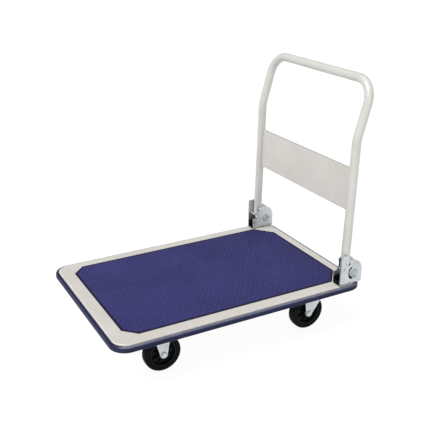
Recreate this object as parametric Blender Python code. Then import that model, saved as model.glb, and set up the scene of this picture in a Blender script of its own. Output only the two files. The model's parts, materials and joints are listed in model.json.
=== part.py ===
"""Flatbed platform truck with a folding handle, built as separate pieces in metres, +Z up."""
import bmesh
import bpy
from math import cos, pi, radians, sin, tan
from mathutils import Matrix, Vector

# Deck: a pressed tray; its rim face, its height, its sheet and the dark sheet on top
GAP = 0.0003
RIM_X = 0.2975
RIM_Y = 0.4435
DECK_TOP = 0.185
SHEET = 0.002
CORNER_R = 0.045
RIM_ROLL = 0.0045
SKIRT = 0.027
LIP = 0.010
MAT_X = 0.2565
MAT_FRONT = 0.3985
MAT_REAR = 0.4085
MAT_THICK = 0.0022
FRONT_CUT = 0.041
REAR_CUT_X = 0.066
REAR_CUT_Y = 0.055
BUMPER_OUT = 0.0102
BUMPER_TOP = 0.0045
BUMPER_TALL = 0.0203
BUMPER_SHELF = 0.0066
CHANNEL_HALF = 0.055
CHANNEL_REACH = 0.270
CHANNEL_TALL = 0.022
STIFFENER_X = 0.140
STIFFENER_HALF = 0.030
STIFFENER_TALL = 0.018

# Handle: one bent tube, hinged on a bolt through each leg
TUBE_R = 0.015
TUBE_WALL = 0.0018
LEG_X = 0.280
PIVOT_UP = 0.078
LEG_FOOT_Y = 0.383
LEAN = radians(1.6)
KINK_UP = 0.501
SLANT = radians(15.9)
TOP_UP = 0.681
KINK_R = 0.090
TOP_R = 0.072
TAIL = 0.028
PANEL_TOP = 0.401
PANEL_BOTTOM = 0.257
PANEL_THICK = 0.002

# Brackets: a folded plate with two ears
EAR_THICK = 0.003
EAR_HALF = 0.019
BOLT_R = 0.005
STOP_R = 0.004
STOP_REACH = 0.014
STOP_BELOW = radians(44.2)
PIVOT_NUT_HALF = 0.008
PIVOT_NUT_TALL = 0.0065
DECK_BOLT_R = 0.003
DECK_BOLT_HEAD = 0.0055
DECK_BOLT_TALL = 0.0042
DECK_BOLT_YS = (("front", 0.3665), ("rear", 0.420))
LATCH_R = 0.0147
LATCH_Y = 0.412
LATCH_UP = 0.037
LATCH_TURN = radians(38)
HOOK_HALF = 0.014

# Casters
WHEEL_R = 0.0625
TYRE_HALF = 0.015
HUB_HALF = 0.0175
CASTER_X = 0.200
FRONT_AXLE_Y = -0.262
KINGPIN_Y = 0.323
TRAIL = 0.032
PLATE_THICK = 0.003
PLATE_HALF_X = 0.046
PLATE_HALF_Y = 0.039
RACE_DROP = 0.008
CROWN_TALL = 0.007
CROWN_R = 0.0235
KINGPIN_R = 0.0057
KINGPIN_HEAD_R = 0.010
LEG_THICK = 0.003
FORK_HALF = 0.0215
FORK_FRONT_REACH = 0.033
FORK_FRONT_LEAD = 0.025
FORK_LEAD = 0.030
FORK_TRAIL = 0.052
SEAT_R = 0.046
HUB_BORE = 0.0083
BOSS_R = 0.016
AXLE_R = 0.005
AXLE_HOLE = 0.0053
SLEEVE_R = 0.008
NUT_HALF = 0.0085
NUT_TALL = 0.0055

KINK_Y = LEG_FOOT_Y + KINK_UP * tan(LEAN)
TOP_Y = KINK_Y + (TOP_UP - KINK_UP) * tan(SLANT)
REAR_MOST = TOP_Y + TUBE_R
FRONT_MOST = -(RIM_Y + BUMPER_OUT)
SHIFT_Y = -0.5 * (REAR_MOST + FRONT_MOST)
PIVOT_Y = LEG_FOOT_Y + PIVOT_UP * tan(LEAN)
CHANNEL_FLOOR = DECK_TOP - SHEET - GAP - CHANNEL_TALL
PLATE_TOP = CHANNEL_FLOOR - GAP


def deck(x, y, up):
    """A point given across the deck, along it and above its top, in world metres."""
    return Vector((x, y + SHIFT_Y, DECK_TOP + up))


def material(name, colour, rough, metal):
    mat = bpy.data.materials.new(name)
    mat.use_nodes = True
    bsdf = mat.node_tree.nodes["Principled BSDF"]
    bsdf.inputs["Base Color"].default_value = (*colour, 1.0)
    bsdf.inputs["Roughness"].default_value = rough
    bsdf.inputs["Metallic"].default_value = metal
    return mat


def solid(name, verts, faces, origin):
    """A linked object with its faces turned outward."""
    bm = bmesh.new()
    points = [bm.verts.new(Vector(v) - origin) for v in verts]
    for face in faces:
        bm.faces.new([points[i] for i in face])
    bmesh.ops.recalc_face_normals(bm, faces=bm.faces)
    mesh = bpy.data.meshes.new(name)
    bm.to_mesh(mesh)
    bm.free()
    obj = bpy.data.objects.new(name, mesh)
    bpy.context.scene.collection.objects.link(obj)
    return obj


def make(name, verts, faces, origin, mat, smooth=True, parent=None):
    """One object from world coordinates; its origin is put at the given world point."""
    obj = solid(name, verts, faces, origin)
    mesh = obj.data
    mesh.materials.append(mat)
    obj.location = origin
    if smooth:
        mesh.shade_smooth()
        mesh.set_sharp_from_angle(angle=radians(35))
    if parent is not None:
        obj.parent = parent
        obj.matrix_parent_inverse = Matrix.Translation(-parent.location)
    return obj


def loft(rings, closed):
    """Faces between rings of equal count; the two end rings are capped unless it closes on itself."""
    verts = [p for ring in rings for p in ring]
    count = len(rings[0])
    faces = []
    for i in range(len(rings) if closed else len(rings) - 1):
        a = i * count
        b = ((i + 1) % len(rings)) * count
        for j in range(count):
            k = (j + 1) % count
            faces.append((a + j, a + k, b + k, b + j))
    if not closed:
        faces.append(tuple(reversed(range(count))))
        faces.append(tuple(range(len(verts) - count, len(verts))))
    return verts, faces


def round_rect(half_x, half_y, radius, steps=6):
    points = []
    for sx, sy, start in ((1, 1, 0), (-1, 1, 90), (-1, -1, 180), (1, -1, 270)):
        for i in range(steps + 1):
            a = radians(start + 90 * i / steps)
            points.append((sx * (half_x - radius) + radius * cos(a),
                           sy * (half_y - radius) + radius * sin(a)))
    return points


def ring_flat(outline, z, shift_y=0.0):
    return [Vector((x, y + shift_y, z)) for x, y in outline]


def prism(outline, axis, low, high):
    """An outline pushed along one world axis; outlines are (y, z), (x, z) or (x, y) pairs."""
    order = {"X": (2, 0, 1), "Y": (0, 2, 1), "Z": (0, 1, 2)}[axis]
    rings = []
    for t in (low, high):
        rings.append([Vector([(p, q, t)[k] for k in order]) for p, q in outline])
    return loft(rings, False)


def revolve_x(profile, centre, steps, closed=True):
    """A profile of (x, radius) turned about the X axis through the centre."""
    rings = []
    for x, r in profile:
        rings.append([centre + Vector((x, r * cos(2 * pi * i / steps), r * sin(2 * pi * i / steps)))
                      for i in range(steps)])
    return loft(rings, closed)


def revolve_z(profile, centre, steps, closed=False):
    rings = []
    for z, r in profile:
        rings.append([centre + Vector((r * cos(2 * pi * i / steps), r * sin(2 * pi * i / steps), z))
                      for i in range(steps)])
    return loft(rings, closed)


def arc(cy, cz, radius, start, stop, steps):
    return [(cy + radius * cos(radians(start + (stop - start) * i / steps)),
             cz + radius * sin(radians(start + (stop - start) * i / steps))) for i in range(steps + 1)]


def cut(obj, verts, faces, operation="DIFFERENCE"):
    """A hidden cutter applied by an exact boolean."""
    tool = solid("cutter", verts, faces, Vector((0, 0, 0)))
    tool.hide_render = True
    tool.display_type = "WIRE"
    mod = obj.modifiers.new("boolean", "BOOLEAN")
    mod.operation = operation
    mod.solver = "EXACT"
    mod.object = tool


def drill_x(obj, y, z, radius, x_low, x_high, steps=16):
    cut(obj, *revolve_x([(x_low, radius), (x_high, radius)], Vector((0, y, z)), steps, False))


def drill_z(obj, x, y, radius, z_low, z_high, steps=12):
    cut(obj, *revolve_z([(z_low, radius), (z_high, radius)], Vector((x, y, 0)), steps))


def hex_ring(across, steps):
    """Points on a hexagon's sides, evenly turned, so it can be lofted to a round ring."""
    points = []
    for i in range(steps):
        a = 2 * pi * i / steps
        side = (a + pi / 6) % (pi / 3) - pi / 6
        r = 0.5 * across / cos(side)
        points.append((r * cos(a), r * sin(a)))
    return points


def fastener(centre, axis, parts, steps=12):
    """Rings of a bolt, nut or pin: parts are (distance along the axis, radius, hexagonal or not)."""
    rings = []
    for t, size, hexed in parts:
        flat = hex_ring(2 * size, steps) if hexed else [
            (size * cos(2 * pi * i / steps), size * sin(2 * pi * i / steps)) for i in range(steps)]
        if axis == "X":
            rings.append([centre + Vector((t, p, q)) for p, q in flat])
        else:
            rings.append([centre + Vector((p, q, t)) for p, q in flat])
    return rings


def bend_path(points, radii, steps):
    """A polyline with its inner corners rounded, with the direction at every point."""
    path = [points[0]]
    for i in range(1, len(points) - 1):
        into = (points[i] - points[i - 1]).normalized()
        away = (points[i + 1] - points[i]).normalized()
        angle = into.angle(away)
        reach = radii[i - 1] * tan(angle / 2)
        axis = into.cross(away).normalized()
        start = points[i] - into * reach
        centre = start + axis.cross(into) * radii[i - 1]
        count = steps[i - 1]
        for k in range(count + 1):
            path.append(centre + Matrix.Rotation(angle * k / count, 3, axis) @ (start - centre))
    path.append(points[-1])
    return path


def tube(path, radius, steps, side):
    """Rings square to a path; the side vector is carried along it so the rings never twist."""
    rings = []
    for i, point in enumerate(path):
        before = path[max(i - 1, 0)]
        after = path[min(i + 1, len(path) - 1)]
        ahead = (after - before).normalized()
        if 0 < i < len(path) - 1:
            ahead = ((point - before).normalized() + (after - point).normalized()).normalized()
        side = (side - ahead * side.dot(ahead)).normalized()
        up = ahead.cross(side)
        ring = []
        for k in range(steps):
            a = 2 * pi * k / steps
            ring.append(point + side * (radius * cos(a)) + up * (radius * sin(a)))
        rings.append(ring)
    return rings


def channel_outline(middle, half, low, high):
    """A channel's section: a floor and two walls, one sheet thick."""
    return [(middle - half, low), (middle + half, low), (middle + half, high), (middle + half - SHEET, high),
            (middle + half - SHEET, low + SHEET), (middle - half + SHEET, low + SHEET),
            (middle - half + SHEET, high), (middle - half, high)]


def build_deck(paint, mat_sheet, rubber, steel):
    """The tray, the sheet laid on it, the strip round its edge and the frame under it."""
    sections = []
    for inset, drop in ((RIM_ROLL, 0.0), (RIM_ROLL * 0.29, RIM_ROLL * 0.29), (0.0, RIM_ROLL), (0.0, SKIRT),
                        (LIP, SKIRT), (LIP, SKIRT - SHEET), (SHEET, SKIRT - SHEET), (SHEET, RIM_ROLL),
                        (RIM_ROLL, SHEET)):
        outline = round_rect(RIM_X - inset, RIM_Y - inset, CORNER_R - inset)
        sections.append(ring_flat(outline, DECK_TOP - drop, SHIFT_Y))
    verts, faces = loft(sections, False)
    pan = make("deck_pan", verts, faces, deck(0, 0, 0), paint)

    front, rear = -MAT_FRONT, MAT_REAR
    outline = [(MAT_X, front + FRONT_CUT), (MAT_X, rear - REAR_CUT_Y), (MAT_X - REAR_CUT_X, rear),
               (REAR_CUT_X - MAT_X, rear), (-MAT_X, rear - REAR_CUT_Y), (-MAT_X, front + FRONT_CUT),
               (FRONT_CUT - MAT_X, front), (MAT_X - FRONT_CUT, front)]
    laid = DECK_TOP + GAP
    rings = [ring_flat(outline, laid, SHIFT_Y), ring_flat(outline, laid + MAT_THICK, SHIFT_Y)]
    make("deck_mat", *loft(rings, False), deck(0, 0, GAP), mat_sheet, smooth=False)

    sections = []
    top = -BUMPER_TOP
    low = top - BUMPER_TALL
    for out, up in ((GAP, low), (BUMPER_SHELF, low), (BUMPER_OUT, low + 0.004), (BUMPER_OUT, top - 0.007),
                    (BUMPER_SHELF, top), (GAP, top)):
        outline = round_rect(RIM_X + out, RIM_Y + out, CORNER_R + out)
        sections.append(ring_flat(outline, DECK_TOP + up, SHIFT_Y))
    make("edge_bumper", *loft(sections, True), deck(0, 0, -BUMPER_TOP), rubber)

    for name, along in (("front_channel", FRONT_AXLE_Y), ("rear_channel", KINGPIN_Y)):
        y = along + SHIFT_Y
        outline = channel_outline(y, CHANNEL_HALF, CHANNEL_FLOOR, CHANNEL_FLOOR + CHANNEL_TALL)
        make(name, *prism(outline, "X", -CHANNEL_REACH, CHANNEL_REACH), Vector((0, y, CHANNEL_FLOOR)), steel,
             smooth=False)

    clear = CHANNEL_HALF + SHEET
    ends = (FRONT_AXLE_Y + clear + SHIFT_Y, KINGPIN_Y - clear + SHIFT_Y)
    ceiling = DECK_TOP - SHEET - GAP
    for name, x in (("stiffener_left", -STIFFENER_X), ("stiffener_right", STIFFENER_X)):
        outline = channel_outline(x, STIFFENER_HALF, ceiling - STIFFENER_TALL, ceiling)
        make(name, *prism(outline, "Y", *ends), Vector((x, SHIFT_Y, ceiling - STIFFENER_TALL)), steel,
             smooth=False)
    return pan


def build_handle(paint, pivot):
    """The bent tube and the folded panel between its legs."""
    foot_y = LEG_FOOT_Y + (PIVOT_UP - TAIL) * tan(LEAN)
    foot_up = PIVOT_UP - TAIL
    corners = [deck(-LEG_X, foot_y, foot_up), deck(-LEG_X, KINK_Y, KINK_UP), deck(-LEG_X, TOP_Y, TOP_UP),
               deck(LEG_X, TOP_Y, TOP_UP), deck(LEG_X, KINK_Y, KINK_UP), deck(LEG_X, foot_y, foot_up)]
    path = bend_path(corners, [KINK_R, TOP_R, TOP_R, KINK_R], [3, 7, 7, 3])
    outer = tube(path, TUBE_R, 16, Vector((0, 1, 0)))
    inner = tube(path, TUBE_R - TUBE_WALL, 16, Vector((0, 1, 0)))
    handle = make("handle_tube", *loft(outer + inner[::-1], True), pivot, paint)
    for leg in (-LEG_X, LEG_X):
        drill_x(handle, pivot.y, pivot.z, BOLT_R + GAP, leg - EAR_HALF, leg + EAR_HALF)

    edge = LEG_X - TUBE_R - GAP
    low_y = LEG_FOOT_Y + PANEL_BOTTOM * tan(LEAN)
    high_y = LEG_FOOT_Y + PANEL_TOP * tan(LEAN)
    half = PANEL_THICK / 2
    fold = 0.010
    bottom_in = PANEL_BOTTOM + PANEL_THICK
    top_in = PANEL_TOP - PANEL_THICK
    outline = [(low_y - half, PANEL_BOTTOM), (low_y + fold, PANEL_BOTTOM), (low_y + fold, bottom_in),
               (low_y + half, bottom_in), (high_y + half, top_in), (high_y + fold, top_in),
               (high_y + fold, PANEL_TOP), (high_y - half, PANEL_TOP)]
    outline = [(y + SHIFT_Y, DECK_TOP + up) for y, up in outline]
    make("handle_panel", *prism(outline, "X", -edge, edge), deck(0, low_y, PANEL_BOTTOM), paint,
         smooth=False, parent=handle)


def bracket_outline():
    """The ear seen from the side: a tall front strip and a lower rounded lobe behind it."""
    points = [(0.354, 0.0), (0.354, 0.104), (0.360, 0.110), (0.379, 0.110), (0.386, 0.104), (0.389, 0.094)]
    points += arc(0.400, 0.050, 0.044, 90, 0, 8)
    points.append((0.444, 0.0))
    return [(y + SHIFT_Y, DECK_TOP + GAP + up) for y, up in points]


def inner_ear_trim():
    """What the ear nearer the middle lacks: only its foot comes as far forward as the outer ear."""
    points = [(0.345, 0.043), (0.364, 0.043), (0.3745, 0.052), (0.3745, 0.084), (0.380, 0.0895),
              (0.425, 0.0895), (0.425, 0.120), (0.345, 0.120)]
    return [(y + SHIFT_Y, DECK_TOP + up) for y, up in points]


def u_section(x):
    """The folded plate seen from the front: floor, two ears, rounded outer folds."""
    outer = EAR_HALF
    inner = EAR_HALF - EAR_THICK
    bend = 0.005
    floor = DECK_TOP + GAP
    points = [(x - inner, floor + 0.2), (x - outer, floor + 0.2)]
    points += [(x - outer + bend + p, floor + bend + q) for p, q in arc(0, 0, bend, 180, 270, 3)]
    points += [(x + outer - bend + p, floor + bend + q) for p, q in arc(0, 0, bend, 270, 360, 3)]
    points += [(x + outer, floor + 0.2), (x + inner, floor + 0.2), (x + inner, floor + EAR_THICK),
               (x - inner, floor + EAR_THICK)]
    return points


def build_bracket(tag, x, zinc, pan):
    """The folded bracket with its bolt, nut, stop pin, latch and two deck bolts."""
    out = 1 if x > 0 else -1
    bracket = make("bracket_" + tag, *prism(bracket_outline(), "X", x - EAR_HALF, x + EAR_HALF),
                   deck(x, 0.400, GAP), zinc)
    cut(bracket, *prism(u_section(x), "Y", 0.34 + SHIFT_Y, 0.46 + SHIFT_Y), "INTERSECT")
    inner_face = sorted((x - out * 0.010, x - out * 0.030))
    cut(bracket, *prism(inner_ear_trim(), "X", *inner_face))
    pivot = deck(x, PIVOT_Y, PIVOT_UP)
    barrel = deck(x, LATCH_Y, LATCH_UP)
    clear = TUBE_R + STOP_R + GAP
    reach = clear / sin(STOP_BELOW)
    lean_pin = STOP_BELOW + LEAN
    stop = pivot + Vector((0, -reach * sin(lean_pin), -reach * cos(lean_pin)))
    low, high = x - 0.03, x + 0.03
    drill_x(bracket, pivot.y, pivot.z, BOLT_R + GAP, low, high)
    drill_x(bracket, barrel.y, barrel.z, LATCH_R + GAP, low, high, 24)
    drill_x(bracket, stop.y, stop.z, STOP_R + GAP, low, high)
    face = EAR_HALF + GAP

    def along(parts):
        return [(out * t, size, hexed) for t, size, hexed in parts]

    rings = fastener(pivot, "X", along([(-face - 0.009, BOLT_R, False), (face, BOLT_R, False),
                                        (face, 0.0085, False), (face + 0.003, 0.0080, False),
                                        (face + 0.0045, 0.0050, False)]), steps=16)
    make("pivot_bolt_" + tag, *loft(rings, False), pivot, zinc)
    nut_end = -out * (face + PIVOT_NUT_TALL)
    nut = [(nut_end, PIVOT_NUT_HALF, True), (-out * face, PIVOT_NUT_HALF, True)]
    bore = [(-out * face, BOLT_R + GAP, False), (nut_end, BOLT_R + GAP, False)]
    rings = fastener(pivot, "X", nut + bore)
    make("pivot_nut_" + tag, *loft(rings, True), pivot, zinc, smooth=False)
    parts = [(-STOP_REACH, STOP_R - 0.0005, False), (0.0005 - STOP_REACH, STOP_R, False),
             (face, STOP_R, False), (face, 0.0060, False), (face + 0.001, 0.0060, False),
             (face + 0.002, 0.0045, False)]
    rings = fastener(stop, "X", along(parts), steps=16)
    make("stop_pin_" + tag, *loft(rings, False), stop, zinc)

    end_r = LATCH_R - 0.001
    barrel_profile = [(-EAR_HALF, end_r), (-EAR_HALF + 0.001, LATCH_R), (EAR_HALF - 0.001, LATCH_R),
                      (EAR_HALF, end_r)]
    latch = make("latch_" + tag, *revolve_x(barrel_profile, barrel, 24, False), barrel, zinc)
    hook = [(-0.0114, 0.004), (-0.0114, 0.023), (-0.004, 0.023), (0.003, 0.010), (0.003, 0.004)]
    toe = [(0.002, 0.009), (0.0195, 0.0255), (0.0225, 0.0225), (0.007, 0.005)]
    for shape in (hook, toe):
        turned = [(barrel.y + p * cos(LATCH_TURN) + q * sin(LATCH_TURN),
                   barrel.z - p * sin(LATCH_TURN) + q * cos(LATCH_TURN)) for p, q in shape]
        cut(latch, *prism(turned[::-1], "X", x - HOOK_HALF, x + HOOK_HALF), "UNION")

    for end, y in DECK_BOLT_YS:
        spot = deck(x, y, GAP + EAR_THICK)
        head_top = GAP + DECK_BOLT_TALL
        rings = fastener(spot, "Z", [(-0.009, DECK_BOLT_R, False), (GAP, DECK_BOLT_R, False),
                                     (GAP, DECK_BOLT_HEAD, True), (head_top, DECK_BOLT_HEAD, True)])
        make("bracket_bolt_" + tag + "_" + end, *loft(rings, False), spot, zinc, smooth=False)
        drill_z(bracket, x, spot.y, DECK_BOLT_R + GAP, DECK_TOP - 0.01, DECK_TOP + 0.02)
        drill_z(pan, x, spot.y, DECK_BOLT_R + GAP, DECK_TOP - 0.01, DECK_TOP + 0.01)


def fork_outline(top_low, top_high, axle_y, top, skirt):
    """A fork leg seen from the side: square at the top, tapering to a round end at the axle."""
    round_r = 0.0125
    points = [(top_high, top), (top_low, top), (top_low, top - skirt)]
    points += arc(axle_y, WHEEL_R, round_r, 190, 350, 8)
    points.append((top_high, top - skirt))
    return points


def build_wheel(tag, hub_at, rubber, plastic, zinc, fork):
    """Tyre, hub, sleeve, axle bolt and nut on one axle; tyre and hub turn about X."""
    half, crown = TYRE_HALF, WHEEL_R
    wall = SEAT_R + 0.006
    shoulder = crown - 0.005
    edge = crown - 0.001
    profile = [(-half, SEAT_R), (-half, wall), (-half + 0.0005, shoulder), (-half + 0.004, edge),
               (0.0, crown), (half - 0.004, edge), (half - 0.0005, shoulder), (half, wall), (half, SEAT_R)]
    tyre = make("tyre_" + tag, *revolve_x(profile[::-1], hub_at, 36), hub_at, rubber)
    rim = SEAT_R - 0.0006
    lip = 0.0145
    web = 0.006
    profile = [(-lip, rim), (-lip, rim - 0.005), (-web, rim - 0.009), (-web, 0.020), (-HUB_HALF, BOSS_R),
               (-HUB_HALF, HUB_BORE), (HUB_HALF, HUB_BORE), (HUB_HALF, BOSS_R), (web, 0.020),
               (web, rim - 0.009), (lip, rim - 0.005), (lip, rim)]
    make("hub_" + tag, *revolve_x(profile, hub_at, 24), hub_at, plastic, parent=tyre)
    inside = FORK_HALF - LEG_THICK - GAP
    profile = [(inside, AXLE_HOLE), (inside, SLEEVE_R), (-inside, SLEEVE_R), (-inside, AXLE_HOLE)]
    make("axle_sleeve_" + tag, *revolve_x(profile, hub_at, 16), hub_at, zinc, parent=fork)
    out = 1 if hub_at.x > 0 else -1
    face = FORK_HALF + GAP
    parts = [(-face - 0.008, AXLE_R, False), (face, AXLE_R, False), (face, NUT_HALF, True),
             (face + NUT_TALL, NUT_HALF, True)]
    rings = fastener(hub_at, "X", [(out * t, size, hexed) for t, size, hexed in parts])
    make("axle_bolt_" + tag, *loft(rings, False), hub_at, zinc, smooth=False, parent=fork)
    near, far = -out * face, -out * (face + NUT_TALL)
    rings = fastener(hub_at, "X", [(far, NUT_HALF, True), (near, NUT_HALF, True), (near, AXLE_HOLE, False),
                                   (far, AXLE_HOLE, False)])
    make("axle_nut_" + tag, *loft(rings, True), hub_at, zinc, smooth=False, parent=fork)


def build_caster(tag, x, along, swivels, zinc, rubber, plastic):
    """Plate, fork and wheel; a swivel caster also has a race under its plate and a kingpin."""
    y = along + SHIFT_Y
    low = PLATE_TOP - PLATE_THICK
    outline = [(x + p, y + q) for p, q in round_rect(PLATE_HALF_X, PLATE_HALF_Y, 0.008, 2)]
    plate = make("plate_" + tag, *prism(outline, "Z", low, PLATE_TOP), Vector((x, y, PLATE_TOP)), zinc)
    race_low = low - RACE_DROP
    if swivels:
        race = [(race_low, 0.024), (low - 0.004, 0.027), (low + 0.001, 0.027)]
        cut(plate, *revolve_z(race, Vector((x, y, 0)), 24), "UNION")
        drill_z(plate, x, y, KINGPIN_R + GAP, race_low - 0.01, PLATE_TOP + 0.01)
        crown = race_low - GAP
        top = crown - CROWN_TALL
        axle_y = y - TRAIL
        outline = fork_outline(y - FORK_TRAIL, y + FORK_LEAD, axle_y, top, 0.012)
    else:
        top = low - GAP
        axle_y = y
        outline = fork_outline(y - FORK_FRONT_REACH, y + FORK_FRONT_LEAD, axle_y, top, 0.024)
    fork = make("fork_" + tag, *prism(outline, "X", x - FORK_HALF, x + FORK_HALF), Vector((x, y, top)), zinc)
    inner = FORK_HALF - LEG_THICK
    box = [(x - inner, 0.0), (x + inner, 0.0), (x + inner, top - LEG_THICK), (x - inner, top - LEG_THICK)]
    cut(fork, *prism(box, "Y", y - 0.2, y + 0.2))
    drill_x(fork, axle_y, WHEEL_R, AXLE_HOLE, x - 0.05, x + 0.05)
    if swivels:
        collar = [(top - 0.001, CROWN_R - 0.003), (top + 0.003, CROWN_R - 0.003), (crown, CROWN_R)]
        cut(fork, *revolve_z(collar, Vector((x, y, 0)), 24), "UNION")
        drill_z(fork, x, y, KINGPIN_R + GAP, top - 0.02, crown + 0.005)
        under = top - LEG_THICK - GAP
        pin = [(under - 0.003, 0.008), (under - 0.0015, KINGPIN_HEAD_R), (under, KINGPIN_HEAD_R),
               (under, KINGPIN_R), (PLATE_TOP - 0.0005, KINGPIN_R)]
        make("kingpin_" + tag, *revolve_z(pin, Vector((x, y, 0)), 16), Vector((x, y, top)), zinc)
    build_wheel(tag, Vector((x, axle_y, WHEEL_R)), rubber, plastic, zinc, fork)


def main():
    for obj in list(bpy.data.objects):
        bpy.data.objects.remove(obj, do_unlink=True)
    cream = material("cream_paint", (0.62, 0.60, 0.55), 0.35, 0.0)
    blue = material("mat_vinyl", (0.040, 0.040, 0.145), 0.55, 0.0)
    navy = material("bumper_rubber", (0.020, 0.028, 0.075), 0.6, 0.0)
    grey = material("frame_steel", (0.35, 0.35, 0.34), 0.5, 0.6)
    zinc = material("zinc_plate", (0.62, 0.64, 0.66), 0.35, 0.9)
    tread = material("tyre_rubber", (0.012, 0.012, 0.013), 0.7, 0.0)
    nylon = material("hub_plastic", (0.030, 0.030, 0.032), 0.45, 0.0)
    pan = build_deck(cream, blue, navy, grey)
    build_handle(cream, deck(0, PIVOT_Y, PIVOT_UP))
    for tag, sign in (("left", -1), ("right", 1)):
        build_bracket(tag, sign * LEG_X, zinc, pan)
        build_caster("front_" + tag, sign * CASTER_X, FRONT_AXLE_Y, False, zinc, tread, nylon)
        build_caster("rear_" + tag, sign * CASTER_X, KINGPIN_Y, True, zinc, tread, nylon)


main()
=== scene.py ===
"""Looks of the flatbed platform truck: finished meshes, materials, light and camera around the CAD frame."""
import bmesh
import bpy
import json
from math import atan, cos, pi, radians, sin, tan
from mathutils import Matrix, Vector


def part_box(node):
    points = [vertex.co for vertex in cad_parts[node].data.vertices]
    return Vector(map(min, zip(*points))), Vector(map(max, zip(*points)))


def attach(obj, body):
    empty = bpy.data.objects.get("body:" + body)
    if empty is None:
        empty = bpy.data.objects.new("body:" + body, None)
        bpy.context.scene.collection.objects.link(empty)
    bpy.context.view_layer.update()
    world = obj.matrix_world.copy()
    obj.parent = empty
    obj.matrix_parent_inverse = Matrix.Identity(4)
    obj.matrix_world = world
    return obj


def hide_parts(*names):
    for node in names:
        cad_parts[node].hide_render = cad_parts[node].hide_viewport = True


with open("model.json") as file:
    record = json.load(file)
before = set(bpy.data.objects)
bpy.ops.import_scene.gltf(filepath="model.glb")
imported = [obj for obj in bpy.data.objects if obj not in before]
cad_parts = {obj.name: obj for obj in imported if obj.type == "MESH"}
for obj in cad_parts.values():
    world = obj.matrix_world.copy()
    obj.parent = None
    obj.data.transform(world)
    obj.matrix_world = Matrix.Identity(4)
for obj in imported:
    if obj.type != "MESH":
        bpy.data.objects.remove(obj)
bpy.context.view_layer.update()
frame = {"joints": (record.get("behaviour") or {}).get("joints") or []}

# Deck, from the frame
PAN_LOW, PAN_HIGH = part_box("deck_pan")
DECK_TOP = PAN_HIGH.z
MIDDLE_Y = (PAN_LOW.y + PAN_HIGH.y) / 2
RIM_X = PAN_HIGH.x
RIM_Y = PAN_HIGH.y - MIDDLE_Y
CORNER_R = 0.045
ROLL_R = 0.0055
LIP = 0.010
SHEET = 0.002
FRONT_CUT = 0.041
REAR_CUT_X = 0.066
REAR_CUT_Y = 0.055

# Handle: leg line, kink, slant and bends
TUBE_R = 0.015
TUBE_WALL = 0.0018
TUBE_LOW, TUBE_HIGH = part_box("handle_tube")
LEG_X = TUBE_HIGH.x - TUBE_R
TOP_Z = TUBE_HIGH.z - TUBE_R
TOP_Y = TUBE_HIGH.y - TUBE_R
LEAN = radians(1.6)
SLANT = radians(15.9)
KINK_Z = DECK_TOP + 0.501
KINK_Y = TOP_Y - (TOP_Z - KINK_Z) * tan(SLANT)
KINK_R = 0.090
TOP_R = 0.072

# Brackets and latches
EAR_HALF = 0.019
EAR_THICK = 0.003
CHEEK = 0.0020
SLOT_R = 0.0225
SLOT_HALF = 0.0034
PIVOT_HOLE_R = 0.0053
BOLT_HOLE_R = 0.0033
LATCH_AXIS = {j["child"].split("_")[1]: (j["pos_m"][1], j["pos_m"][2])
              for j in frame["joints"] if j["name"].startswith("latch_")}

# Casters
TYRE_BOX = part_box("tyre_front_right")
WHEEL_R = (TYRE_BOX[1].z - TYRE_BOX[0].z) / 2
TYRE_HALF = (TYRE_BOX[1].x - TYRE_BOX[0].x) / 2
FORK_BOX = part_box("fork_front_right")
FORK_HALF = (FORK_BOX[1].x - FORK_BOX[0].x) / 2
FORK_THICK = 0.003
AXLE_HOLE_R = 0.0053
KINGPIN_HOLE_R = 0.006

SIDES = (("left", -1), ("right", 1))
HEX = "hexagon"


def centre(node):
    low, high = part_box(node)
    return (low + high) / 2


# ---------------------------------------------------------------- meshes

def arc(cy, cz, radius, start, stop, steps):
    """Points on an arc in a plane, angles in degrees."""
    return [(cy + radius * cos(radians(start + (stop - start) * i / steps)),
             cz + radius * sin(radians(start + (stop - start) * i / steps))) for i in range(steps + 1)]


def fillet(corners, radius, steps=5):
    """A closed outline with rounded corners; the radius is one number, or one for each corner."""
    points = []
    for i, corner in enumerate(corners):
        r = radius[i] if isinstance(radius, (list, tuple)) else radius
        here = Vector(corner)
        if r == 0:
            points.append(tuple(here))
            continue
        into = (here - Vector(corners[i - 1])).normalized()
        away = (Vector(corners[(i + 1) % len(corners)]) - here).normalized()
        side = 1 if into.x * away.y - into.y * away.x > 0 else -1
        turn = into.angle(away)
        start = here - into * (r * tan(turn / 2))
        hub = start + Vector((-into.y, into.x)) * (side * r)
        arm = start - hub
        for k in range(steps + 1):
            a = side * turn * k / steps
            points.append((hub.x + arm.x * cos(a) - arm.y * sin(a), hub.y + arm.x * sin(a) + arm.y * cos(a)))
    return points


def round_rect(half_x, half_y, radius, steps=16):
    """A rectangle about the origin with round corners."""
    points = []
    for sx, sy, start in ((1, 1, 0), (-1, 1, 90), (-1, -1, 180), (1, -1, 270)):
        points += arc(sx * (half_x - radius), sy * (half_y - radius), radius, start, start + 90, steps)
    return points


def loft(rings, closed=False):
    """Quads between rings of equal count; the end rings are capped unless the row of rings closes."""
    verts = [p for ring in rings for p in ring]
    count = len(rings[0])
    faces = []
    for i in range(len(rings) if closed else len(rings) - 1):
        a = i * count
        b = ((i + 1) % len(rings)) * count
        for j in range(count):
            k = (j + 1) % count
            faces.append((a + j, a + k, b + k, b + j))
    if not closed:
        faces.append(tuple(reversed(range(count))))
        faces.append(tuple(range(len(verts) - count, len(verts))))
    return verts, faces


def prism(outline, axis, low, high):
    """An outline pushed along a world axis; outlines are (y, z), (x, z) or (x, y) pairs."""
    order = {"X": (2, 0, 1), "Y": (0, 2, 1), "Z": (0, 1, 2)}[axis]
    rings = []
    for t in (low, high):
        rings.append([Vector([(p, q, t)[k] for k in order]) for p, q in outline])
    return loft(rings)


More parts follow.
